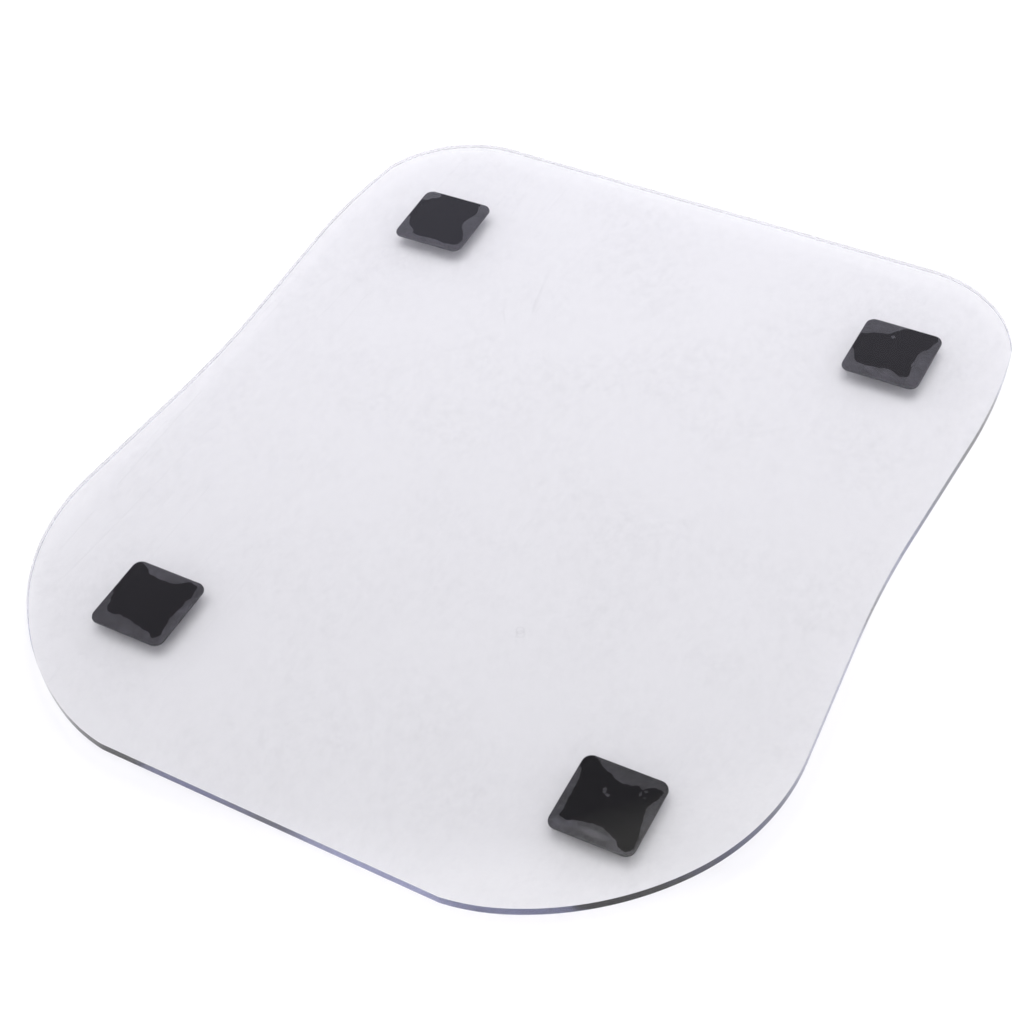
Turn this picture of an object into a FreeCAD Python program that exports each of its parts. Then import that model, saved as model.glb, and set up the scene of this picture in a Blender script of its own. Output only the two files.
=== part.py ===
import FreeCAD, Part
import math
import os
import Sketcher

# Clear acrylic mat on four self-adhesive rubber bumper feet.
# Millimetres, +Z up. The origin is on the ground plane below the middle of the sheet.
# +Y points to the end with the small corner radius, -Y to the end with the large one.

os.makedirs("parts", exist_ok=True)
doc = FreeCAD.newDocument("clear_mat")

# ---------------------------------------------------------------- driving dimensions
DIMS = [
    # sheet
    ("sheet_thick", 3.0, "cast acrylic sheet"),
    ("far_edge_y", 137.3, "straight edge at the +Y end"),
    ("near_edge_y", 137.3, "straight edge at the -Y end, measured from the origin"),
    ("far_edge_half", 77.97, "half length of the straight +Y edge"),
    ("shoulder_x", 114.09, "where the +Y corner arc meets the side"),
    ("shoulder_y", 111.91, ""),
    ("upper_side_x", 117.135, "where the shoulder arc runs into the straight flank"),
    ("upper_side_y", 69.04, ""),
    ("waist_top_x", 115.305, "start of the waist arc"),
    ("waist_top_y", 27.38, ""),
    ("waist_low_x", 116.275, "end of the waist arc"),
    ("waist_low_y", 16.02, "below the origin"),
    ("hip_x", 119.905, "start of the hip arc"),
    ("hip_y", 56.84, "below the origin"),
    ("near_arc_x", 108.40, "where the hip arc meets the large -Y corner arc"),
    ("near_arc_y", 101.41, "below the origin"),
    ("near_turn_x", 70.27, "where the corner arc tightens before the straight edge"),
    ("near_turn_y", 132.89, "below the origin"),
    ("near_edge_half", 54.0, "half length of the straight -Y edge"),
    ("far_corner_radius", 38.4, "+Y corners"),
    ("shoulder_radius", 187.6, ""),
    ("waist_radius", 327.7, "concave"),
    ("hip_radius", 68.8, ""),
    ("near_corner_radius", 87.4, "-Y corners"),
    ("near_turn_radius", 61.15, "last part of the -Y corners"),
    # bumper feet
    ("foot_side", 25.2, "square base of a foot"),
    ("foot_corner", 2.9, "corner radius of the base"),
    ("foot_rim", 0.5, "straight moulded rim under the adhesive"),
    ("foot_height", 5.0, "rubber body, rim included"),
    ("foot_ground_side", 15.6, "square ground face before its edge is rounded"),
    ("foot_ground_corner", 2.4, "corner radius of the ground face"),
    ("foot_ground_round", 0.8, "rounding of the edge that meets the ground"),
    ("film_thick", 0.25, "double-sided adhesive film"),
    ("film_side", 25.0, "die-cut film, a hair inside the rubber base"),
    ("film_corner", 2.8, ""),
    # feet centres, and their small turns as stuck on by hand
    ("back_left_x", -82.7, ""),
    ("back_left_y", 95.1, ""),
    ("back_left_turn", 1.89, "degrees"),
    ("back_right_x", 80.5, ""),
    ("back_right_y", 97.2, ""),
    ("back_right_turn", 0.87, "degrees"),
    ("front_left_x", -73.5, ""),
    ("front_left_y", -89.4, ""),
    ("front_left_turn", 0.74, "degrees"),
    ("front_right_x", 79.1, ""),
    ("front_right_y", -92.2, ""),
    ("front_right_turn", 1.69, "degrees"),
]
sheet = doc.addObject("Spreadsheet::Sheet", "dims")
V = {}
for row, (alias, value, note) in enumerate(DIMS, start=1):
    sheet.set("A%d" % row, alias)
    sheet.set("B%d" % row, repr(value))
    sheet.setAlias("B%d" % row, alias)
    if note:
        sheet.set("C%d" % row, note)
    V[alias] = value
doc.recompute()


def ref(alias):
    return "<<dims>>." + alias


sheet.Label = "dims"


def new_body(label):
    body = doc.addObject("PartDesign::Body", label)
    body.Label = label
    return body


def plane(body, role):
    for feature in body.Origin.OriginFeatures:
        if feature.Role == role:
            return feature
    raise RuntimeError("no plane " + role)


def new_sketch(body, name, lift=None):
    sketch = body.newObject("Sketcher::SketchObject", name)
    sketch.AttachmentSupport = [(plane(body, "XY_Plane"), "")]
    sketch.MapMode = "FlatFace"
    if lift:
        sketch.setExpression("AttachmentOffset.Base.z", lift)
    return sketch


def bind(sketch, index, expression):
    sketch.setExpression("Constraints[%d]" % index, expression)


# ---------------------------------------------------------------- sheet outline
def arc_points(p, q, radius, clockwise):
    """Ends and middle of the arc from p to q, on the side that its turning direction gives."""
    p = FreeCAD.Vector(*p)
    q = FreeCAD.Vector(*q)
    mid = (p + q) * 0.5
    chord = q - p
    half = chord.Length / 2.0
    rise = math.sqrt(radius * radius - half * half)
    normal = FreeCAD.Vector(chord.y, -chord.x, 0)
    normal.normalize()
    centre = mid + normal * rise * (1 if clockwise else -1)
    outward = mid - centre
    outward.normalize()
    top = centre + outward * radius
    return p, top, q


RIGHT = [
    (V["far_edge_half"], V["far_edge_y"]),
    (V["shoulder_x"], V["shoulder_y"]),
    (V["upper_side_x"], V["upper_side_y"]),
    (V["waist_top_x"], V["waist_top_y"]),
    (V["waist_low_x"], -V["waist_low_y"]),
    (V["hip_x"], -V["hip_y"]),
    (V["near_arc_x"], -V["near_arc_y"]),
    (V["near_turn_x"], -V["near_turn_y"]),
    (V["near_edge_half"], -V["near_edge_y"]),
]
# kind of each stretch between neighbouring points, down the right-hand side
KIND = [
    ("arc", "far_corner_radius", True),
    ("arc", "shoulder_radius", True),
    ("line", None, None),
    ("arc", "waist_radius", False),
    ("line", None, None),
    ("arc", "hip_radius", True),
    ("arc", "near_corner_radius", True),
    ("arc", "near_turn_radius", True),
]


def add_side(sketch, sign):
    """The stretches of one flank; returns their geometry numbers and end indices."""
    out = []
    for i, (kind, radius, clockwise) in enumerate(KIND):
        p = (sign * RIGHT[i][0], RIGHT[i][1], 0)
        q = (sign * RIGHT[i + 1][0], RIGHT[i + 1][1], 0)
        if kind == "line":
            g = sketch.addGeometry(
                Part.LineSegment(FreeCAD.Vector(*p), FreeCAD.Vector(*q)), False
            )
            out.append((g, 1, 2))
            continue
        turn = clockwise if sign > 0 else not clockwise
        a, top, b = arc_points(p, q, V[radius], turn)
        # an arc in a sketch always runs counter-clockwise from its point 1 to its point 2
        if turn:
            arc = Part.Arc(b, top, a)
            g = sketch.addGeometry(arc, False)
            out.append((g, 2, 1))
        else:
            arc = Part.Arc(a, top, b)
            g = sketch.addGeometry(arc, False)
            out.append((g, 1, 2))
    return out


body = new_body("clear_sheet")
outline = new_sketch(body, "sheet_outline")
far = outline.addGeometry(
    Part.LineSegment(
        FreeCAD.Vector(-RIGHT[0][0], RIGHT[0][1], 0),
        FreeCAD.Vector(RIGHT[0][0], RIGHT[0][1], 0),
    ),
    False,
)
near = outline.addGeometry(
    Part.LineSegment(
        FreeCAD.Vector(-RIGHT[-1][0], RIGHT[-1][1], 0),
        FreeCAD.Vector(RIGHT[-1][0], RIGHT[-1][1], 0),
    ),
    False,
)
right = add_side(outline, 1)
left = add_side(outline, -1)
C = Sketcher.Constraint
for side, end in ((right, 2), (left, 1)):
    outline.addConstraint(C("Coincident", far, end, side[0][0], side[0][1]))
    for (g0, _, e0), (g1, s1, _) in zip(side, side[1:]):
        outline.addConstraint(C("Coincident", g0, e0, g1, s1))
    outline.addConstraint(C("Coincident", side[-1][0], side[-1][2], near, end))
# each flank: the ends of the straight edges and the heights of the joints are given, the radii
# are given, and every joint is tangent except the two slight corners, so that the widths follow
SMOOTH = [(1, 2), (2, 3), (3, 4), (4, 5), (5, 6), (6, 7)]
heights = [
    ("shoulder_y", 1),
    ("upper_side_y", 1),
    ("waist_top_y", 1),
    ("waist_low_y", -1),
    ("hip_y", -1),
    ("near_arc_y", -1),
    ("near_turn_y", -1),
]


def across(sketch, g, end, alias, sign):
    if sign > 0:
        n = sketch.addConstraint(C("DistanceX", -1, 1, g, end, V[alias]))
    else:
        n = sketch.addConstraint(C("DistanceX", g, end, -1, 1, V[alias]))
    bind(sketch, n, ref(alias))


def along(sketch, g, end, alias, sign):
    if sign > 0:
        n = sketch.addConstraint(C("DistanceY", -1, 1, g, end, V[alias]))
    else:
        n = sketch.addConstraint(C("DistanceY", g, end, -1, 1, V[alias]))
    bind(sketch, n, ref(alias))


for sign, side, end in ((1, right, 2), (-1, left, 1)):
    across(outline, far, end, "far_edge_half", sign)
    along(outline, far, end, "far_edge_y", 1)
    across(outline, near, end, "near_edge_half", sign)
    along(outline, near, end, "near_edge_y", -1)
    for (g, _, last), (alias, down) in zip(side, heights):
        along(outline, g, last, alias, down)
    for (g, _, _), (kind, radius, _) in zip(side, KIND):
        if kind == "arc":
            n = outline.addConstraint(C("Radius", g, V[radius]))
            bind(outline, n, ref(radius))
    outline.addConstraint(C("Tangent", far, side[0][0]))
    for i, j in SMOOTH:
        outline.addConstraint(C("Tangent", side[i][0], side[j][0]))
if outline.solve() != 0:
    raise RuntimeError("the sheet outline does not solve")
doc.recompute()
pad = body.newObject("PartDesign::Pad", "sheet_pad")
pad.Profile = outline
pad.setExpression("Length", ref("sheet_thick"))
doc.recompute()
body.Tip = pad
body.setExpression("Placement.Base.z", ref("foot_height") + " + " + ref("film_thick"))
doc.recompute()


# ---------------------------------------------------------------- rounded squares
def rounded_square(sketch, side_alias, corner_alias):
    """A square centred on the sketch's origin with four equal corner arcs."""
    half = V[side_alias] / 2.0
    r = V[corner_alias]
    k = half - r
    vec = FreeCAD.Vector
    ends = [
        (vec(-k, -half, 0), vec(k, -half, 0)),
        (vec(half, -k, 0), vec(half, k, 0)),
        (vec(k, half, 0), vec(-k, half, 0)),
        (vec(-half, k, 0), vec(-half, -k, 0)),
    ]
    lines = [
        sketch.addGeometry(Part.LineSegment(a, b), False) for a, b in ends
    ]
    centres = [vec(k, -k, 0), vec(k, k, 0), vec(-k, k, 0), vec(-k, -k, 0)]
    arcs = []
    for i, c in enumerate(centres):
        a0 = -math.pi / 2 + i * math.pi / 2
        arcs.append(
            sketch.addGeometry(
                Part.ArcOfCircle(
                    Part.Circle(c, vec(0, 0, 1), r), a0, a0 + math.pi / 2
                ),
                False,
            )
        )
    for i in range(4):
        sketch.addConstraint(C("Tangent", lines[i], 2, arcs[i], 1))
        sketch.addConstraint(C("Tangent", arcs[i], 2, lines[(i + 1) % 4], 1))
    sketch.addConstraint(C("Horizontal", lines[0]))
    sketch.addConstraint(C("Vertical", lines[1]))
    sketch.addConstraint(C("Horizontal", lines[2]))
    sketch.addConstraint(C("Vertical", lines[3]))
    for i in range(1, 4):
        sketch.addConstraint(C("Equal", arcs[0], arcs[i]))
    n = sketch.addConstraint(C("Radius", arcs[0], r))
    bind(sketch, n, ref(corner_alias))
    n = sketch.addConstraint(C("DistanceX", -1, 1, lines[1], 1, half))
    bind(sketch, n, ref(side_alias) + " / 2")
    n = sketch.addConstraint(C("DistanceY", -1, 1, lines[2], 1, half))
    bind(sketch, n, ref(side_alias) + " / 2")
    n = sketch.addConstraint(C("DistanceX", lines[3], 1, -1, 1, half))
    bind(sketch, n, ref(side_alias) + " / 2")
    n = sketch.addConstraint(C("DistanceY", lines[0], 1, -1, 1, half))
    bind(sketch, n, ref(side_alias) + " / 2")


FEET = ["front_left", "front_right", "back_left", "back_right"]


def place(body, where, height=None):
    body.setExpression("Placement.Base.x", ref(where + "_x"))
    body.setExpression("Placement.Base.y", ref(where + "_y"))
    body.setExpression("Placement.Rotation.Angle", ref(where + "_turn"))
    if height:
        body.setExpression("Placement.Base.z", height)


for where in FEET:
    # rubber body: a tapered square with a thin straight rim at its base
    foot = new_body("foot_" + where)
    rim = new_sketch(
        foot, "rim_" + where, ref("foot_height") + " - " + ref("foot_rim")
    )
    rounded_square(rim, "foot_side", "foot_corner")
    doc.recompute()
    rim_pad = foot.newObject("PartDesign::Pad", "rim_pad_" + where)
    rim_pad.Profile = rim
    rim_pad.setExpression("Length", ref("foot_rim"))
    doc.recompute()
    upper = new_sketch(
        foot, "taper_top_" + where, ref("foot_height") + " - " + ref("foot_rim")
    )
    rounded_square(upper, "foot_side", "foot_corner")
    lower = new_sketch(foot, "taper_ground_" + where)
    rounded_square(lower, "foot_ground_side", "foot_ground_corner")
    doc.recompute()
    loft = foot.newObject("PartDesign::AdditiveLoft", "taper_" + where)
    loft.Profile = upper
    loft.Sections = [lower]
    loft.Ruled = True
    doc.recompute()
    ground = [
        "Edge%d" % i
        for i, e in enumerate(loft.Shape.Edges, start=1)
        if e.BoundBox.ZMax < 1e-6
    ]
    soft = foot.newObject("PartDesign::Fillet", "ground_round_" + where)
    soft.Base = (loft, ground)
    soft.setExpression("Radius", ref("foot_ground_round"))
    foot.Tip = soft
    foot.Placement = FreeCAD.Placement(
        FreeCAD.Vector(0, 0, 0), FreeCAD.Rotation(FreeCAD.Vector(0, 0, 1), 1)
    )
    place(foot, where)
    doc.recompute()

    # adhesive film between the rubber and the underside of the sheet
    film = new_body("adhesive_" + where)
    cut = new_sketch(film, "film_outline_" + where)
    rounded_square(cut, "film_side", "film_corner")
    doc.recompute()
    film_pad = film.newObject("PartDesign::Pad", "film_pad_" + where)
    film_pad.Profile = cut
    film_pad.setExpression("Length", ref("film_thick"))
    film.Tip = film_pad
    film.Placement = FreeCAD.Placement(
        FreeCAD.Vector(0, 0, 0), FreeCAD.Rotation(FreeCAD.Vector(0, 0, 1), 1)
    )
    place(film, where, ref("foot_height"))
    doc.recompute()

# ---------------------------------------------------------------- checks and export
doc.recompute()
for obj in doc.Objects:
    if "Invalid" in obj.State or "Error" in obj.State:
        raise RuntimeError("%s is %s" % (obj.Name, obj.State))
bodies = [o for o in doc.Objects if o.TypeId == "PartDesign::Body"]
for item in bodies:
    shape = item.Shape
    if shape.isNull() or not shape.isValid() or shape.Volume <= 0:
        raise RuntimeError(item.Label + " has a bad shape")
    if len(shape.Solids) != 1:
        raise RuntimeError("%s has %d solids" % (item.Label, len(shape.Solids)))
for item in bodies:
    item.Shape.exportStep("parts/%s.step" % item.Label)
    box = item.Shape.BoundBox
    print(
        "%-24s %9.1f mm3  x %8.2f %8.2f  y %8.2f %8.2f  z %6.2f %6.2f"
        % (
            item.Label,
            item.Shape.Volume,
            box.XMin,
            box.XMax,
            box.YMin,
            box.YMax,
            box.ZMin,
            box.ZMax,
        )
    )
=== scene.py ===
import math

import bmesh
import bpy
import numpy as np
from mathutils import Matrix, Vector
from mathutils.geometry import delaunay_2d_cdt


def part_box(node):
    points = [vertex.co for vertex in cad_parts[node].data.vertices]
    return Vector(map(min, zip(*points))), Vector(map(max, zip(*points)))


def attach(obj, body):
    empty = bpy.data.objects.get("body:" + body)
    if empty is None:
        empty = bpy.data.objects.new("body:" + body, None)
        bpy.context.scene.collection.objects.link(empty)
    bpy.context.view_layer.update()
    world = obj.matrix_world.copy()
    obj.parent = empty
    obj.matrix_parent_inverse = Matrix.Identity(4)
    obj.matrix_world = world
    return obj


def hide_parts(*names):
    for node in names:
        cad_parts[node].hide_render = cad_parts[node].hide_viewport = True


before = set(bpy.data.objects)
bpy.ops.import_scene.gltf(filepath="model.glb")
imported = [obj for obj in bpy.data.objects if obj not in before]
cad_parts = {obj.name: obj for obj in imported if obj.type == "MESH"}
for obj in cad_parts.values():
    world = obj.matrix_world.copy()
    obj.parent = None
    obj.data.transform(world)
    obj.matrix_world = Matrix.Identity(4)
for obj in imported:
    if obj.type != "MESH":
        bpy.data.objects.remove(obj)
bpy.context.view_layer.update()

MM = 0.001
scene = bpy.context.scene
scene.view_settings.view_transform = "Standard"
scene.view_settings.look = "None"
scene.view_settings.exposure = 0.0
scene.view_settings.gamma = 1.0
# light that enters a cut edge runs the whole way across the sheet, bouncing between its faces
scene.cycles.max_bounces = 160
scene.cycles.transmission_bounces = 32
scene.cycles.glossy_bounces = 160
scene.cycles.diffuse_bounces = 6
scene.cycles.transparent_max_bounces = 16
scene.cycles.volume_bounces = 0
scene.cycles.caustics_reflective = True
scene.cycles.caustics_refractive = True
scene.cycles.blur_glossy = 0.0
scene.cycles.sample_clamp_indirect = 8.0
scene.cycles.use_denoising = True


# ------------------------------------------------------------------ places from the frame
sheet_lo, sheet_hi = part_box("clear_sheet")
Z_UNDER, Z_TOP = sheet_lo.z, sheet_hi.z
HALF_X, HALF_Y = (sheet_hi.x - sheet_lo.x) / 2, (sheet_hi.y - sheet_lo.y) / 2
FEET = ["front_left", "front_right", "back_left", "back_right"]
FOOT_TURN = {
    "front_left": math.radians(0.74),
    "front_right": math.radians(1.69),
    "back_left": math.radians(1.89),
    "back_right": math.radians(0.87),
}


def foot_centre(where):
    lo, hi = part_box("foot_" + where)
    return (lo.x + hi.x) / 2, (lo.y + hi.y) / 2, lo.z, hi.z


# ------------------------------------------------------------------ material helpers
def new_material(name):
    m = bpy.data.materials.new(name)
    m.use_nodes = True
    nt = m.node_tree
    nt.nodes.clear()
    out = nt.nodes.new("ShaderNodeOutputMaterial")
    p = nt.nodes.new("ShaderNodeBsdfPrincipled")
    nt.links.new(p.outputs["BSDF"], out.inputs["Surface"])
    return m, nt, p, out


def node(nt, kind, **values):
    n = nt.nodes.new(kind)
    for k, v in values.items():
        setattr(n, k, v)
    return n


def math_node(nt, op, a, b=None, c=None, clamp=False):
    n = nt.nodes.new("ShaderNodeMath")
    n.operation = op
    n.use_clamp = clamp
    for i, x in enumerate((a, b, c)):
        if x is None:
            continue
        if isinstance(x, (int, float)):
            n.inputs[i].default_value = x
        else:
            nt.links.new(x, n.inputs[i])
    return n.outputs[0]


def mapped(nt, scale, offset=(0, 0, 0), turn=0.0):
    tc = nt.nodes.new("ShaderNodeTexCoord")
    mp = nt.nodes.new("ShaderNodeMapping")
    mp.inputs["Scale"].default_value = scale
    mp.inputs["Location"].default_value = offset
    mp.inputs["Rotation"].default_value = (0, 0, turn)
    nt.links.new(tc.outputs["Object"], mp.inputs["Vector"])
    return mp.outputs["Vector"]


def noise(nt, vector, scale, detail=2.0, rough=0.5):
    n = nt.nodes.new("ShaderNodeTexNoise")
    n.inputs["Scale"].default_value = scale
    n.inputs["Detail"].default_value = detail
    n.inputs["Roughness"].default_value = rough
    nt.links.new(vector, n.inputs["Vector"])
    return n.outputs["Fac"]


def ramp(nt, fac, stops):
    n = nt.nodes.new("ShaderNodeValToRGB")
    while len(n.color_ramp.elements) > 1:
        n.color_ramp.elements.remove(n.color_ramp.elements[-1])
    first = True
    for pos, col in stops:
        if first:
            e = n.color_ramp.elements[0]
            e.position = pos
            first = False
        else:
            e = n.color_ramp.elements.new(pos)
        e.color = (*col, 1.0) if len(col) == 3 else col
    nt.links.new(fac, n.inputs["Fac"])
    return n.outputs["Color"]


# ------------------------------------------------------------------ clear sheet: mesh
RIGHT = [
    (77.97, 137.3),
    (114.09, 111.91),
    (117.135, 69.04),
    (115.305, 27.38),
    (116.275, -16.02),
    (119.905, -56.84),
    (108.40, -101.41),
    (70.27, -132.89),
    (54.0, -137.3),
]
STRETCH = [
    ("arc", 38.4, True),
    ("arc", 187.6, True),
    ("line", 0, True),
    ("arc", 327.7, False),
    ("line", 0, True),
    ("arc", 68.8, True),
    ("arc", 87.4, True),
    ("arc", 61.15, True),
]


def arc_points(p, q, radius, clockwise, step):
    p, q = np.array(p, float), np.array(q, float)
    mid, chord = (p + q) / 2, q - p
    half = np.linalg.norm(chord) / 2
    normal = np.array([chord[1], -chord[0]]) / (2 * half)
    centre = mid + normal * math.sqrt(radius**2 - half**2) * (1 if clockwise else -1)
    a0 = math.atan2(*(p - centre)[::-1])
    a1 = math.atan2(*(q - centre)[::-1])
    turn = a1 - a0
    while turn > math.pi:
        turn -= 2 * math.pi
    while turn < -math.pi:
        turn += 2 * math.pi
    n = max(2, int(round(abs(turn) * radius / step)))
    return [
        centre + radius * np.array([math.cos(a0 + turn * i / n), math.sin(a0 + turn * i / n)])
        for i in range(n)
    ]


def line_points(p, q, step):
    p, q = np.array(p, float), np.array(q, float)
    n = max(2, int(round(np.linalg.norm(q - p) / step)))
    return [p + (q - p) * i / n for i in range(n)]


def right_flank(step):
    pts = []
    for (kind, radius, clockwise), p, q in zip(STRETCH, RIGHT, RIGHT[1:]):
        if kind == "arc":
            pts += arc_points(p, q, radius, clockwise, step)
        else:
            pts += line_points(p, q, step)
    pts.append(np.array(RIGHT[-1], float))
    return pts


flank = right_flank(1.25)
far = line_points((-RIGHT[0][0], RIGHT[0][1]), RIGHT[0], 2.5)
near = line_points(RIGHT[-1], (-RIGHT[-1][0], RIGHT[-1][1]), 2.5)[1:]
# clockwise seen from above: far edge, right flank, near edge, left flank
loop = far + flank + near + [np.array([-p[0], p[1]]) for p in flank[::-1]][:-1]
loop = np.array(loop)[::-1] * MM  # anticlockwise
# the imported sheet's own box sets the outline's exact extent
loop[:, 0] *= HALF_X / np.abs(loop[:, 0]).max()
loop[:, 1] *= HALF_Y / np.abs(loop[:, 1]).max()


def loop_normals(pts):
    a = np.roll(pts, 1, 0)
    b = np.roll(pts, -1, 0)
    d1 = pts - a
    d2 = b - pts
    d1 /= np.linalg.norm(d1, axis=1)[:, None]
    d2 /= np.linalg.norm(d2, axis=1)[:, None]
    d = d1 + d2
    d /= np.linalg.norm(d, axis=1)[:, None]
    return np.stack([d[:, 1], -d[:, 0]], 1)


def sheet_mesh():
    n = len(loop)
    out = loop_normals(loop)
    arris = 0.12 * MM
    rings = []  # (points xy, z, normal)
    up = np.tile([0.0, 0.0, 1.0], (n, 1))
    side = np.concatenate([out, np.zeros((n, 1))], 1)
    # top face rings from the middle outwards, then over the edge and back underneath
    inner = [0.08, 0.2, 0.35, 0.5, 0.65, 0.78, 0.88, 0.95, 0.985]
    for s in inner:
        rings.append((loop * s, Z_TOP, up))
    rings.append((loop - out * arris, Z_TOP, up))
    for k in (1, 2):
        a = math.radians(30 * k)
        nrm = side * math.sin(a) + up * math.cos(a)
        rings.append((loop - out * arris * (1 - math.sin(a)), Z_TOP - arris * (1 - math.cos(a)), nrm))
    rings.append((loop, Z_TOP - arris, side))
    rings.append((loop, (Z_TOP + Z_UNDER) / 2, side))
    rings.append((loop, Z_UNDER + arris, side))
    for k in (2, 1):
        a = math.radians(30 * k)
        nrm = side * math.sin(a) - up * math.cos(a)
        rings.append((loop - out * arris * (1 - math.sin(a)), Z_UNDER + arris * (1 - math.cos(a)), nrm))
    rings.append((loop - out * arris, Z_UNDER, -up))
    for s in inner[::-1]:
        rings.append((loop * s, Z_UNDER, -up))
    verts, normals, faces = [], [], []
    for pts, z, nrm in rings:
        for p, m in zip(pts, nrm):
            verts.append((p[0], p[1], z))
            normals.append(tuple(m))
    for r in range(len(rings) - 1):
        for i in range(n):
            j = (i + 1) % n
            faces.append((r * n + i, (r + 1) * n + i, (r + 1) * n + j, r * n + j))
    # the middle of each face is closed by one flat cap
    faces.append(tuple(range(n)))
    last = (len(rings) - 1) * n
    faces.append(tuple(last + i for i in range(n))[::-1])
    me = bpy.data.meshes.new("clear_sheet_body")
    me.from_pydata(verts, [], faces)
    me.validate()
    me.polygons.foreach_set("use_smooth", [True] * len(me.polygons))
    me.normals_split_custom_set_from_vertices(normals)
    me.update()
    return me


sheet = bpy.data.objects.new("clear_sheet_body", sheet_mesh())
scene.collection.objects.link(sheet)
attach(sheet, "root")
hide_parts("clear_sheet")


# ------------------------------------------------------------------ clear sheet: material
def acrylic():
    m, nt, p, out = new_material("clear_cast_acrylic")
    p.inputs["Roughness"].default_value = 0.0
    p.inputs["IOR"].default_value = 1.49
    p.inputs["Transmission Weight"].default_value = 1.0
    # faint waviness of the cast faces, hairline scratches, and cutter marks on the cut edge
    wave = noise(nt, mapped(nt, (1, 1, 1)), 28.0, 1.0, 0.4)
    geo = nt.nodes.new("ShaderNodeNewGeometry")
    sep = nt.nodes.new("ShaderNodeSeparateXYZ")
    nt.links.new(geo.outputs["True Normal"], sep.inputs["Vector"])
    flat = math_node(nt, "ABSOLUTE", sep.outputs["Z"])
    edge = math_node(nt, "SUBTRACT", 1.0, flat, clamp=True)

    def hairs(turn, scale, seed, width):
        v = mapped(nt, (1.0, 0.045, 1.0), (seed, seed * 0.7, 0), turn)
        vo = nt.nodes.new("ShaderNodeTexVoronoi")
        vo.feature = "DISTANCE_TO_EDGE"
        vo.voronoi_dimensions = "2D"
        vo.inputs["Scale"].default_value = scale
        nt.links.new(v, vo.inputs["Vector"])
        line = math_node(nt, "LESS_THAN", vo.outputs["Distance"], width)
        gate = noise(nt, mapped(nt, (1, 1, 1), (seed * 3.1, 0, 0)), 22.0, 1.0)
        gate = math_node(nt, "GREATER_THAN", gate, 0.60)
        return math_node(nt, "MULTIPLY", line, gate)

    scratch = math_node(
        nt, "ADD", hairs(0.5, 60.0, 1.3, 0.006), hairs(2.1, 47.0, 4.7, 0.005), clamp=True
    )
    scratch = math_node(nt, "MULTIPLY", scratch, flat)
    cut = noise(nt, mapped(nt, (1, 1, 0.05)), 2600.0, 2.0)
    cut = math_node(nt, "MULTIPLY", cut, edge)
    b1 = nt.nodes.new("ShaderNodeBump")
    b1.inputs["Strength"].default_value = 0.25
    b1.inputs["Distance"].default_value = 0.00012
    nt.links.new(wave, b1.inputs["Height"])
    b2 = nt.nodes.new("ShaderNodeBump")
    b2.inputs["Strength"].default_value = 1.0
    b2.inputs["Distance"].default_value = 0.00003
    haze = noise(nt, mapped(nt, (1, 1, 1), (0.3, 0.7, 0)), 640.0, 2.0, 0.55)
    low = nt.nodes.new("ShaderNodeSeparateXYZ")
    nt.links.new(nt.nodes.new("ShaderNodeTexCoord").outputs["Object"], low.inputs["Vector"])
    under = math_node(nt, "LESS_THAN", low.outputs["Z"], 0.0060)
    haze = math_node(nt, "MULTIPLY", haze, math_node(nt, "MULTIPLY", flat, under))
    nt.links.new(math_node(nt, "MULTIPLY_ADD", scratch, 0.2, haze), b2.inputs["Height"])
    nt.links.new(b1.outputs["Normal"], b2.inputs["Normal"])
    b3 = nt.nodes.new("ShaderNodeBump")
    b3.inputs["Strength"].default_value = 1.0
    b3.inputs["Distance"].default_value = 0.00003
    nt.links.new(cut, b3.inputs["Height"])
    nt.links.new(b2.outputs["Normal"], b3.inputs["Normal"])
    nt.links.new(b3.outputs["Normal"], p.inputs["Normal"])
    # handling marks: faint dusty wisps, thicker in some patches, one long hairline, a ring and two specks
    patch = noise(nt, mapped(nt, (1.0, 1.25, 1), (0.11, 0.42, 0)), 26.0, 3.0, 0.55)
    patch = ramp(nt, patch, [(0.34, (0.30, 0.30, 0.30)), (0.66, (1, 1, 1))])
    wisp = noise(nt, mapped(nt, (1.15, 0.85, 1), (0.9, 0.2, 0), 0.35), 300.0, 5.0, 0.66)
    wisp = ramp(nt, wisp, [(0.45, (0, 0, 0)), (0.70, (1, 1, 1))])
    lint = noise(nt, mapped(nt, (1.3, 0.7, 1), (0.4, 0.8, 0), 0.5), 480.0, 3.0, 0.6)
    lint = ramp(nt, lint, [(0.52, (0, 0, 0)), (0.74, (1, 1, 1))])
    mark = math_node(nt, "MAXIMUM", wisp, math_node(nt, "MULTIPLY", lint, 0.8))
    mark = math_node(nt, "MULTIPLY", mark, patch)
    mark = math_node(nt, "MULTIPLY", mark, 0.07)

    spot = nt.nodes.new("ShaderNodeTexCoord").outputs["Object"]

    def away(x, y):
        d = nt.nodes.new("ShaderNodeVectorMath")
        d.operation = "SUBTRACT"
        d.inputs[1].default_value = (x * MM, y * MM, 0)
        nt.links.new(spot, d.inputs[0])
        flatten = nt.nodes.new("ShaderNodeVectorMath")
        flatten.operation = "MULTIPLY"
        flatten.inputs[1].default_value = (1, 1, 0)
        nt.links.new(d.outputs["Vector"], flatten.inputs[0])
        return flatten.outputs["Vector"]

    def length(v):
        n = nt.nodes.new("ShaderNodeVectorMath")
        n.operation = "LENGTH"
        nt.links.new(v, n.inputs[0])
        return n.outputs["Value"]

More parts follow.
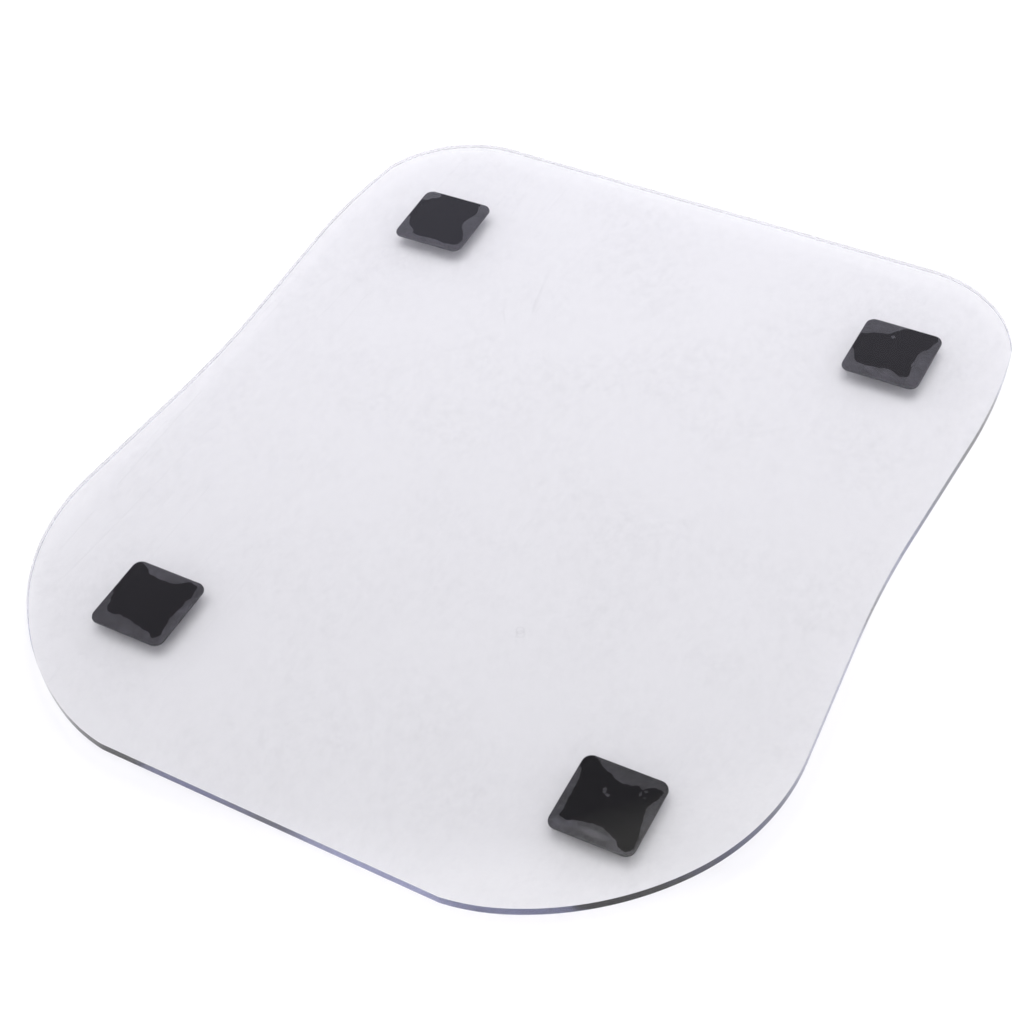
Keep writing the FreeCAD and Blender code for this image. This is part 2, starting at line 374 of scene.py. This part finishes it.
    def hairline(x0, y0, x1, y1, half):
        v = away(x0, y0)
        dx, dy = (x1 - x0) * MM, (y1 - y0) * MM
        n2 = dx * dx + dy * dy
        d = nt.nodes.new("ShaderNodeVectorMath")
        d.operation = "DOT_PRODUCT"
        d.inputs[1].default_value = (dx / n2, dy / n2, 0)
        nt.links.new(v, d.inputs[0])
        t = math_node(nt, "ADD", d.outputs["Value"], 0.0, clamp=True)
        along = nt.nodes.new("ShaderNodeVectorMath")
        along.operation = "SCALE"
        along.inputs[0].default_value = (dx, dy, 0)
        nt.links.new(t, along.inputs["Scale"])
        off = nt.nodes.new("ShaderNodeVectorMath")
        off.operation = "SUBTRACT"
        nt.links.new(v, off.inputs[0])
        nt.links.new(along.outputs["Vector"], off.inputs[1])
        return math_node(nt, "LESS_THAN", length(off.outputs["Vector"]), half * MM)

    def blot(x, y, radius, half):
        ring = math_node(nt, "ABSOLUTE", math_node(nt, "SUBTRACT", length(away(x, y)), radius * MM))
        return math_node(nt, "LESS_THAN", ring, half * MM)

    marks = [
        (hairline(-36.1, 86.4, -34.0, 77.5, 0.10), 0.10),
        (hairline(-34.0, 77.5, -31.6, 66.5, 0.14), 0.13),
        (hairline(-40.5, 63.0, -37.5, 58.5, 0.10), 0.07),
        (hairline(31.0, 69.0, 34.5, 66.0, 0.10), 0.06),
        (blot(30.5, -52.4, 1.15, 0.20), 0.11),
        (blot(30.5, -55.1, 0.0, 0.28), 0.13),
        (blot(-10.4, -27.8, 0.0, 0.28), 0.10),
        (blot(53.6, 4.5, 0.0, 0.40), 0.09),
    ]
    for shape, depth in marks:
        mark = math_node(nt, "MULTIPLY_ADD", shape, depth, mark)
    clean = nt.nodes.new("ShaderNodeMix")
    clean.data_type = "RGBA"
    clean.inputs[6].default_value = (0.884, 0.882, 0.887, 1)
    clean.inputs[7].default_value = (0, 0, 0, 1)
    nt.links.new(math_node(nt, "MULTIPLY", mark, flat), clean.inputs[0])
    nt.links.new(clean.outputs[2], p.inputs["Base Color"])
    # the body tint that shows only along the sheet, at its edges
    va = nt.nodes.new("ShaderNodeVolumeAbsorption")
    va.inputs["Color"].default_value = (0.24, 0.28, 0.62, 1)
    va.inputs["Density"].default_value = 4.0
    nt.links.new(va.outputs["Volume"], out.inputs["Volume"])
    return m


sheet.data.materials.append(acrylic())


# ------------------------------------------------------------------ feet
def rounded_square(half, corner, per_corner=12, per_side=10):
    pts = []
    k = half - corner
    for i, (cx, cy) in enumerate(((k, k), (-k, k), (-k, -k), (k, -k))):
        a0 = i * math.pi / 2
        for j in range(per_corner + 1):
            a = a0 + math.pi / 2 * j / per_corner
            pts.append((cx + corner * math.cos(a), cy + corner * math.sin(a)))
        nx, ny = ((k, k), (-k, k), (-k, -k), (k, -k))[(i + 1) % 4]
        a = a0 + math.pi / 2
        p = np.array([cx + corner * math.cos(a), cy + corner * math.sin(a)])
        q = np.array([nx + corner * math.cos(a), ny + corner * math.sin(a)])
        for j in range(1, per_side):
            pts.append(tuple(p + (q - p) * j / per_side))
    return np.array(pts)


SIDE, CORNER = 12.6, 2.9
GROUND, GROUND_CORNER = 7.8, 2.4


def foot_mesh(name):
    """Tapered square bumper, base up. Heights in mm from the ground face."""
    height, rim = 5.0, 0.5
    slope = (SIDE - GROUND) / (height - rim)
    rings = []

    def ring(z, half, corner):
        rings.append((rounded_square(half, corner), z))

    # base face, slightly dished where the film sits, with a rounded lip
    ring(height - 0.05, SIDE * 0.25, CORNER * 0.25)
    ring(height - 0.05, SIDE * 0.6, CORNER * 0.6)
    ring(height - 0.04, SIDE * 0.9, CORNER * 0.9)
    ring(height, SIDE - 0.35, CORNER - 0.35)
    for k in range(0, 4):
        a = math.radians(30 * k)
        ring(height - 0.18 * (1 - math.cos(a)), SIDE - 0.18 * (1 - math.sin(a)), CORNER - 0.18 * (1 - math.sin(a)))
    ring(height - rim + 0.08, SIDE, CORNER)
    ring(height - rim, SIDE - 0.04, CORNER - 0.03)
    n_taper = 10
    z_low = 0.55
    for i in range(1, n_taper + 1):
        z = (height - rim) + (z_low - (height - rim)) * i / n_taper
        t = (height - rim - z) / (height - rim)
        ring(z, SIDE - slope * (height - rim - z), CORNER + (GROUND_CORNER - CORNER) * t)
    # rounding into the ground face: a smooth blend from the slope to the flat
    half0 = SIDE - slope * (height - rim - z_low)
    for k in range(1, 7):
        a = math.radians(15 * k)
        # quarter turn, weighted so that it leaves along the slope
        z = z_low * (1 - math.sin(a)) ** 1.25
        half = half0 - 1.15 * (1 - math.cos(a)) - 0.18 * math.sin(a)
        ring(max(z, 0.0), half, GROUND_CORNER - 0.5 * (k / 6))
    half1 = rings[-1][0][:, 0].max()
    ring(0.0, half1 - 0.9, GROUND_CORNER - 0.8)
    # shallow suction dish in the ground face
    for frac, z in ((0.80, 0.06), (0.72, 0.16), (0.60, 0.24), (0.40, 0.29), (0.18, 0.31)):
        ring(z, half1 * frac, 1.5 * frac)
    verts, faces = [], []
    n = len(rings[0][0])
    for pts, z in rings:
        verts += [(p[0] * MM, p[1] * MM, z * MM) for p in pts]
    for r in range(len(rings) - 1):
        for i in range(n):
            j = (i + 1) % n
            faces.append((r * n + i, (r + 1) * n + i, (r + 1) * n + j, r * n + j))
    faces.append(tuple(range(n)))
    last = (len(rings) - 1) * n
    faces.append(tuple(last + i for i in range(n))[::-1])
    me = bpy.data.meshes.new(name)
    me.from_pydata(verts, [], faces)
    me.validate()
    bm = bmesh.new()
    bm.from_mesh(me)
    bmesh.ops.recalc_face_normals(bm, faces=bm.faces)
    bm.to_mesh(me)
    bm.free()
    me.polygons.foreach_set("use_smooth", [True] * len(me.polygons))
    me.update()
    return me


def rubber():
    m, nt, p, out = new_material("black_rubber")
    grain = noise(nt, mapped(nt, (1, 1, 1)), 2600.0, 3.0, 0.6)
    cloud = noise(nt, mapped(nt, (1, 1, 1), (0.3, 0.1, 0)), 160.0, 3.0, 0.55)
    col = ramp(nt, cloud, [(0.30, (0.013, 0.013, 0.015)), (0.55, (0.019, 0.019, 0.021)), (0.75, (0.032, 0.031, 0.033))])
    nt.links.new(col, p.inputs["Base Color"])
    r = ramp(nt, cloud, [(0.3, (0.48, 0.48, 0.48)), (0.7, (0.64, 0.64, 0.64))])
    nt.links.new(r, p.inputs["Roughness"])
    p.inputs["IOR"].default_value = 1.5
    b = nt.nodes.new("ShaderNodeBump")
    b.inputs["Strength"].default_value = 0.35
    b.inputs["Distance"].default_value = 0.00004
    nt.links.new(grain, b.inputs["Height"])
    nt.links.new(b.outputs["Normal"], p.inputs["Normal"])
    return m


def film_materials():
    wet, nt, p, out = new_material("adhesive_wetted")
    cloud = noise(nt, mapped(nt, (1, 1, 1)), 420.0, 3.0, 0.55)
    col = ramp(nt, cloud, [(0.30, (0.0042, 0.0040, 0.0046)), (0.70, (0.0075, 0.0072, 0.0080))])
    nt.links.new(col, p.inputs["Base Color"])
    p.inputs["Roughness"].default_value = 0.9
    p.inputs["Specular IOR Level"].default_value = 0.0
    dry, nt, p, out = new_material("adhesive_over_air")
    cloud = noise(nt, mapped(nt, (1, 1, 1)), 300.0, 4.0, 0.65)
    drift = noise(nt, mapped(nt, (1, 1, 1), (0.7, 0.1, 0)), 95.0, 2.0, 0.5)
    cloud = math_node(nt, "ADD", math_node(nt, "MULTIPLY", cloud, 0.45), math_node(nt, "MULTIPLY", drift, 0.55))
    col = ramp(nt, cloud, [(0.36, (0.004, 0.0038, 0.0052)), (0.48, (0.010, 0.0095, 0.0125)), (0.57, (0.024, 0.023, 0.029)), (0.68, (0.050, 0.048, 0.060))])
    # one smear of pale dust caught under the front of the front right foot
    d = nt.nodes.new("ShaderNodeVectorMath")
    d.operation = "SUBTRACT"
    d.inputs[1].default_value = (79.6 * MM, -102.0 * MM, 5.25 * MM)
    nt.links.new(nt.nodes.new("ShaderNodeTexCoord").outputs["Object"], d.inputs[0])
    squash = nt.nodes.new("ShaderNodeVectorMath")
    squash.operation = "MULTIPLY"
    squash.inputs[1].default_value = (1 / 0.0042, 1 / 0.0013, 0)
    nt.links.new(d.outputs["Vector"], squash.inputs[0])
    far = nt.nodes.new("ShaderNodeVectorMath")
    far.operation = "LENGTH"
    nt.links.new(squash.outputs["Vector"], far.inputs[0])
    smear = ramp(nt, math_node(nt, "ADD", far.outputs["Value"], math_node(nt, "MULTIPLY", cloud, -0.9)), [(0.0, (1, 1, 1)), (0.75, (0, 0, 0))])
    dust = nt.nodes.new("ShaderNodeMix")
    dust.data_type = "RGBA"
    dust.inputs[7].default_value = (0.075, 0.074, 0.082, 1)
    nt.links.new(smear, dust.inputs[0])
    nt.links.new(col, dust.inputs[6])
    nt.links.new(dust.outputs[2], p.inputs["Base Color"])
    grain = noise(nt, mapped(nt, (1, 1, 1)), 1500.0, 2.0, 0.6)
    p.inputs["Roughness"].default_value = 0.42
    p.inputs["IOR"].default_value = 1.42
    b = nt.nodes.new("ShaderNodeBump")
    b.inputs["Strength"].default_value = 0.4
    b.inputs["Distance"].default_value = 0.00005
    nt.links.new(grain, b.inputs["Height"])
    nt.links.new(b.outputs["Normal"], p.inputs["Normal"])
    return wet, dry


# where each film has wetted the sheet, as an outline in half foot widths, anticlockwise,
# and the small trapped specks that hold it off
WET = {
    "back_left": [
        (-0.50, 0.97), (-0.54, 0.86), (-0.62, 0.77), (-0.73, 0.71), (-0.82, 0.62), (-0.985, 0.57),
        (-0.99, 0.30), (-0.985, -0.08), (-0.90, -0.25), (-0.80, -0.45), (-0.71, -0.56), (-0.60, -0.63),
        (-0.50, -0.75), (-0.35, -0.81), (-0.20, -0.81), (0.0, -0.78), (0.2, -0.80), (0.4, -0.83),
        (0.6, -0.83), (0.80, -0.79), (0.87, -0.66), (0.88, -0.50), (0.78, -0.30), (0.66, -0.10),
        (0.595, 0.08), (0.60, 0.25), (0.68, 0.40), (0.72, 0.55), (0.70, 0.70), (0.65, 0.85), (0.56, 0.97),
    ],
    "back_right": [
        (-0.985, 0.35), (-0.99, 0.10), (-0.985, -0.18), (-0.92, -0.30), (-0.81, -0.42), (-0.74, -0.55),
        (-0.65, -0.65), (-0.50, -0.685), (-0.30, -0.66), (-0.10, -0.63), (0.10, -0.60), (0.30, -0.65),
        (0.50, -0.685), (0.64, -0.65), (0.68, -0.55), (0.65, -0.35), (0.60, -0.20), (0.60, -0.05),
        (0.63, 0.15), (0.68, 0.35), (0.78, 0.55), (0.87, 0.75), (0.91, 0.87), (0.82, 0.97), (0.5, 0.98),
        (0.20, 0.98), (0.05, 0.93), (-0.10, 0.85), (-0.20, 0.75), (-0.30, 0.66), (-0.45, 0.58), (-0.60, 0.51), (-0.80, 0.44),
    ],
    "front_left": [
        (-0.97, 0.85), (-0.985, 0.60), (-0.985, 0.30), (-0.98, -0.02), (-0.90, -0.15), (-0.83, -0.30),
        (-0.77, -0.50), (-0.70, -0.61), (-0.55, -0.63), (-0.40, -0.61), (-0.20, -0.61), (0.0, -0.65),
        (0.2, -0.68), (0.4, -0.69), (0.58, -0.74), (0.69, -0.81), (0.79, -0.80), (0.85, -0.70),
        (0.84, -0.55), (0.80, -0.40), (0.765, -0.20), (0.76, 0.0), (0.79, 0.2), (0.78, 0.35),
        (0.84, 0.50), (0.86, 0.65), (0.83, 0.82), (0.77, 0.90), (0.65, 0.92), (0.50, 0.88),
        (0.38, 0.80), (0.30, 0.715), (0.15, 0.69), (0.0, 0.69), (-0.20, 0.71), (-0.35, 0.73),
        (-0.50, 0.78), (-0.65, 0.87), (-0.80, 0.92), (-0.92, 0.91),
    ],
    "front_right": [
        (-0.975, 0.90), (-0.98, 0.75), (-0.93, 0.60), (-0.87, 0.40), (-0.825, 0.20), (-0.83, 0.0),
        (-0.82, -0.20), (-0.82, -0.50), (-0.80, -0.65), (-0.70, -0.68), (-0.50, -0.66), (-0.30, -0.62),
        (-0.10, -0.575), (0.10, -0.57), (0.30, -0.625), (0.50, -0.75), (0.64, -0.85), (0.78, -0.88),
        (0.90, -0.83), (0.95, -0.70), (0.93, -0.50), (0.88, -0.30), (0.82, -0.10), (0.78, 0.10),
        (0.80, 0.30), (0.85, 0.50), (0.92, 0.68), (0.88, 0.77), (0.75, 0.78), (0.61, 0.73),
        (0.50, 0.63), (0.40, 0.67), (0.25, 0.60), (0.10, 0.60), (-0.10, 0.63), (-0.30, 0.70),
        (-0.45, 0.77), (-0.60, 0.88), (-0.74, 0.97), (-0.90, 0.975),
    ],
}
SPECKS = {
    "back_left": [],
    "back_right": [(-0.17, 0.53, 0.055, 0.045)],
    "front_left": [],
    "front_right": [(-0.22, 0.28, 0.045, 0.07), (-0.12, 0.20, 0.06, 0.035), (0.50, 0.50, 0.035, 0.06), (0.58, 0.60, 0.05, 0.03), (0.62, 0.45, 0.03, 0.03)],
}
FILM_SIDE, FILM_CORNER = 12.5, 2.8


def smooth_closed(points, per):
    """Closed Catmull-Rom curve through the points."""
    p = np.array(points, float)
    n = len(p)
    out = []
    for i in range(n):
        p0, p1, p2, p3 = p[i - 1], p[i], p[(i + 1) % n], p[(i + 2) % n]
        for k in range(per):
            t = k / per
            out.append(
                0.5 * (2 * p1 + (p2 - p0) * t + (2 * p0 - 5 * p1 + 4 * p2 - p3) * t * t + (3 * p1 - p0 - 3 * p2 + p3) * t**3)
            )
    return np.array(out)


def wobble(pts, seed, size):
    """Fine irregularity of a wetting front, along the outline's normal."""
    out = loop_normals(pts)
    d = np.linalg.norm(np.roll(pts, -1, 0) - pts, axis=1)
    s = np.concatenate([[0], np.cumsum(d)[:-1]])
    total = d.sum()
    rng = np.random.default_rng(seed)
    w = np.zeros(len(pts))
    for k in (5, 9, 14, 22, 33, 47, 61, 83):
        w += k**-0.25 * rng.normal() * np.sin(2 * math.pi * k * s / total + rng.uniform(0, 6.28))
    return pts + out * (w * size)[:, None]


def inside(poly, p):
    x, y = p[:, 0][:, None], p[:, 1][:, None]
    a, b = poly, np.roll(poly, -1, 0)
    hit = ((a[:, 1] > y) != (b[:, 1] > y)) & (
        x < (b[:, 0] - a[:, 0]) * (y - a[:, 1]) / (b[:, 1] - a[:, 1] + 1e-30) + a[:, 0]
    )
    return hit.sum(1) % 2 == 1


def distance(poly, p):
    a, b = poly, np.roll(poly, -1, 0)
    d = b - a
    out = np.full(len(p), 1e9)
    for k in range(len(a)):
        t = np.clip(((p - a[k]) @ d[k]) / (d[k] @ d[k] + 1e-30), 0, 1)
        q = a[k] + t[:, None] * d[k]
        out = np.minimum(out, np.linalg.norm(p - q, axis=1))
    return out


def film_mesh(where, seed):
    """Film with the wetted area pressed a hair into the sheet's underside and the rest held just off it."""
    outer = rounded_square(FILM_SIDE, FILM_CORNER, 10, 40)
    wet = smooth_closed([(x * 12.6, y * 12.6) for x, y in WET[where]], 9)
    wet = wobble(wet, seed, 0.17)
    # the wetting front stays inside the film
    lim = rounded_square(FILM_SIDE - 0.22, FILM_CORNER - 0.22, 10, 40)
    ok = inside(lim, wet)
    for i in np.where(~ok)[0]:
        wet[i] = lim[np.argmin(np.linalg.norm(lim - wet[i], axis=1))]
    keep = [0]
    for i in range(1, len(wet)):
        if np.linalg.norm(wet[i] - wet[keep[-1]]) > 0.08:
            keep.append(i)
    wet = wet[keep]
    specks = []
    for cx, cy, rx, ry in SPECKS[where]:
        a = np.linspace(0, 2 * math.pi, 15)[:-1]
        rng = np.random.default_rng(int(abs(cx) * 1000))
        r = 1 + 0.22 * rng.normal(size=14)
        specks.append(np.stack([(cx + rx * r * np.cos(a)) * 12.6, (cy + ry * r * np.sin(a)) * 12.6], 1))
    pts = [outer, wet] + specks
    edges, start = [], 0
    for loop_ in pts:
        n = len(loop_)
        edges += [(start + i, start + (i + 1) % n) for i in range(n)]
        start += n
    # fill points on a jittered grid, clear of the outlines
    rng = np.random.default_rng(seed + 50)
    g = np.arange(-12.1, 12.2, 0.42)
    X, Y = np.meshgrid(g, g)
    fill = np.stack([X.ravel(), Y.ravel()], 1) + rng.uniform(-0.12, 0.12, (X.size, 2))
    good = inside(outer, fill) & (distance(outer, fill) > 0.22)
    for loop_ in pts[1:]:
        good &= distance(loop_, fill) > 0.14
    fill = fill[good]
    allp = np.concatenate(pts + [fill])
    verts2, _, tris, _, _, _ = delaunay_2d_cdt(
        [Vector(p) for p in allp], edges, [list(range(len(outer)))], 1, 1e-6, False
    )
    v = np.array([tuple(q) for q in verts2])
    sd = distance(wet, v) * np.where(inside(wet, v), 1, -1)
    on = distance(wet, v) < 1e-4
    sd[on] = 0.0
    for s_ in specks:
        d = distance(s_, v) * np.where(inside(s_, v), -1, 1)
        d[distance(s_, v) < 1e-4] = 0.0
        sd = np.minimum(sd, d)
    height, thick = 5.0, 0.25
    grip, gap = 0.012, 0.035
    up = np.where(sd > 0, grip * np.clip(sd / 0.10, 0, 1), 0.0)
    ripple = 0.010 * np.sin(v[:, 0] * 1.7 + 0.4 * seed) * np.sin(v[:, 1] * 1.3 + seed)
    down = np.where(sd < 0, (gap + ripple) * np.clip(-sd / 0.5, 0.12, 1) ** 0.8, 0.0)
    z = height + thick + up - down
    bm = bmesh.new()
    top = [bm.verts.new((x * MM, y * MM, zz * MM)) for (x, y), zz in zip(v, z)]
    bm.verts.ensure_lookup_table()
    cen = np.array([v[list(t)].mean(0) for t in tris])
    wet_face = inside(wet, cen)
    for s_ in specks:
        wet_face &= ~inside(s_, cen)
    for t, w in zip(tris, wet_face):
        f = bm.faces.new([top[i] for i in t])
        f.material_index = 0 if w else 1
        f.smooth = True
    bm.normal_update()
    if sum(f.normal.z for f in bm.faces) < 0:
        bmesh.ops.reverse_faces(bm, faces=bm.faces[:])
    rim = [e for e in bm.edges if len(e.link_faces) == 1]
    made = bmesh.ops.extrude_edge_only(bm, edges=rim)["geom"]
    low = [g_ for g_ in made if isinstance(g_, bmesh.types.BMVert)]
    for q in low:
        q.co.z = height * MM
    low_edges = [g_ for g_ in made if isinstance(g_, bmesh.types.BMEdge)]
    low_edges = [e for e in low_edges if all(abs(w_.co.z - height * MM) < 1e-9 for w_ in e.verts)]
    bmesh.ops.contextual_create(bm, geom=low_edges)
    for f in bm.faces:
        if abs(f.normal.z) < 0.5 or f.calc_center_median().z < (height + 0.1) * MM:
            f.material_index = 1
            f.smooth = False
    bmesh.ops.recalc_face_normals(bm, faces=bm.faces)
    me = bpy.data.meshes.new("adhesive_film_" + where)
    bm.to_mesh(me)
    bm.free()
    me.update()
    return me


RUBBER = rubber()
WET_MAT, DRY_MAT = film_materials()
for seed, where in enumerate(FEET, start=3):
    cx, cy, _, _ = foot_centre(where)
    place = Matrix.Translation((cx, cy, 0)) @ Matrix.Rotation(FOOT_TURN[where], 4, "Z")
    me = foot_mesh("bumper_foot_" + where)
    me.transform(place)
    ob = bpy.data.objects.new("bumper_foot_" + where, me)
    scene.collection.objects.link(ob)
    me.materials.append(RUBBER)
    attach(ob, "root")
    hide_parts("foot_" + where)
    me = film_mesh(where, seed)
    me.transform(place)
    ob = bpy.data.objects.new("adhesive_film_" + where, me)
    scene.collection.objects.link(ob)
    me.materials.append(WET_MAT)
    me.materials.append(DRY_MAT)
    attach(ob, "root")
    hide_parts("adhesive_" + where)


# ------------------------------------------------------------------ floor
def floor_object():
    s = 4.0
    n = 8
    verts = [(-s + 2 * s * i / n, -s + 2 * s * j / n, -0.0001) for j in range(n + 1) for i in range(n + 1)]
    faces = [
        (j * (n + 1) + i, j * (n + 1) + i + 1, (j + 1) * (n + 1) + i + 1, (j + 1) * (n + 1) + i)
        for j in range(n)
        for i in range(n)
    ]
    me = bpy.data.meshes.new("floor")
    me.from_pydata(verts, [], faces)
    ob = bpy.data.objects.new("floor", me)
    scene.collection.objects.link(ob)
    m, nt, p, out = new_material("pale_floor")
    # painted light falloff: the floor's colour is darker towards the front, as painted shade standing in for light that
    # falls off there, and lighter towards the back; just outside the sheet's near edge it steps lighter again, a
    # painted brightening that hides the sheet's shadow on the floor there
    tc = nt.nodes.new("ShaderNodeTexCoord")
    dot = nt.nodes.new("ShaderNodeVectorMath")
    dot.operation = "DOT_PRODUCT"
    dot.inputs[1].default_value = (-0.30 / 0.36, 0.95 / 0.36, 0)
    nt.links.new(tc.outputs["Object"], dot.inputs[0])
    depth = math_node(nt, "ADD", dot.outputs["Value"], 0.5)
    painted_falloff_tone = ramp(
        nt,
        depth,
        [
            # first stop: painted brightening outside the near edge; the rest: painted shade falloff, darkest just under
            # the near edge and lightening towards the back
            (0.125, (0.885, 0.885, 0.888)),
            (0.162, (0.835, 0.835, 0.838)),
            (0.5, (0.888, 0.888, 0.892)),
            (0.861, (0.945, 0.945, 0.95)),
        ],
    )
    nt.links.new(painted_falloff_tone, p.inputs["Base Color"])
    p.inputs["Roughness"].default_value = 0.9
    p.inputs["Specular IOR Level"].default_value = 0.0
    # seen from below, the floor is not there
    clear = nt.nodes.new("ShaderNodeBsdfTransparent")
    side = nt.nodes.new("ShaderNodeNewGeometry")
    pick = nt.nodes.new("ShaderNodeMixShader")
    nt.links.new(side.outputs["Backfacing"], pick.inputs[0])
    nt.links.new(p.outputs["BSDF"], pick.inputs[1])
    nt.links.new(clear.outputs["BSDF"], pick.inputs[2])
    nt.links.new(pick.outputs["Shader"], out.inputs["Surface"])
    me.materials.append(m)
    return ob


floor = floor_object()


# ------------------------------------------------------------------ soft studio light
def studio():
    w = bpy.data.worlds.new("studio")
    scene.world = w
    w.use_nodes = True
    nt = w.node_tree
    nt.nodes.clear()
    out = nt.nodes.new("ShaderNodeOutputWorld")
    bg = nt.nodes.new("ShaderNodeBackground")
    tc = nt.nodes.new("ShaderNodeTexCoord")
    nrm = nt.nodes.new("ShaderNodeVectorMath")
    nrm.operation = "NORMALIZE"
    nt.links.new(tc.outputs["Generated"], nrm.inputs[0])
    sep = nt.nodes.new("ShaderNodeSeparateXYZ")
    nt.links.new(nrm.outputs["Vector"], sep.inputs["Vector"])
    # an even tent with a bright ceiling; the ring between them is what the sheet mirrors
    top = 3.1
    levels = [
        (0.00, (0.98, 0.98, 0.99)),
        (0.56, (0.98, 0.98, 0.99)),
        (0.60, (0.78, 0.77, 0.93)),
        (0.64, (0.70, 0.68, 0.83)),
        (0.69, (0.63, 0.61, 0.71)),
        (0.74, (0.45, 0.43, 0.50)),
        (0.80, (0.35, 0.34, 0.38)),
        (0.865, (0.35, 0.34, 0.38)),
        (0.885, (2.88, 2.88, 2.91)),
        (1.00, (2.88, 2.88, 2.91)),
    ]
    sky = ramp(nt, sep.outputs["Z"], [(z, tuple(c / top for c in col)) for z, col in levels])
    # a large soft box high up, whose lower edge shows faintly in the sheet
    dot = nt.nodes.new("ShaderNodeVectorMath")
    dot.operation = "DOT_PRODUCT"
    dot.inputs[1].default_value = (0.60463, -0.57762, 0.54843)
    nt.links.new(nrm.outputs["Vector"], dot.inputs[0])
    lid = ramp(nt, dot.outputs["Value"], [(0.0, (0, 0, 0)), (0.016, (1, 1, 1))])
    above = ramp(nt, sep.outputs["Z"], [(0.76, (0, 0, 0)), (0.80, (1, 1, 1))])
    below = ramp(nt, sep.outputs["Z"], [(0.865, (1, 1, 1)), (0.885, (0, 0, 0))])
    both = math_node(nt, "MULTIPLY", math_node(nt, "MULTIPLY", lid, above), below)
    mix = nt.nodes.new("ShaderNodeMix")
    mix.data_type = "RGBA"
    mix.inputs[7].default_value = (0.74 / top, 0.73 / top, 0.72 / top, 1)
    nt.links.new(both, mix.inputs[0])
    nt.links.new(sky, mix.inputs[6])
    nt.links.new(mix.outputs[2], bg.inputs["Color"])
    bg.inputs["Strength"].default_value = top
    nt.links.new(bg.outputs["Background"], out.inputs["Surface"])


studio()

# ------------------------------------------------------------------ camera
cam_data = bpy.data.cameras.new("camera")
cam = bpy.data.objects.new("camera", cam_data)
scene.collection.objects.link(cam)
forward = Vector((-0.381191, 0.559645, -0.735861)).normalized()
right_v = Vector((0.868682, 0.489199, -0.077945)).normalized()
up_v = right_v.cross(forward).normalized()
cam.matrix_world = Matrix(
    (
        (right_v.x, up_v.x, -forward.x, 0.236228),
        (right_v.y, up_v.y, -forward.y, -0.351756),
        (right_v.z, up_v.z, -forward.z, 0.452156),
        (0, 0, 0, 1),
    )
)
cam_data.sensor_width = 36.0
cam_data.lens = 71.6133
cam_data.clip_start = 0.01
cam_data.clip_end = 100.0
scene.camera = cam
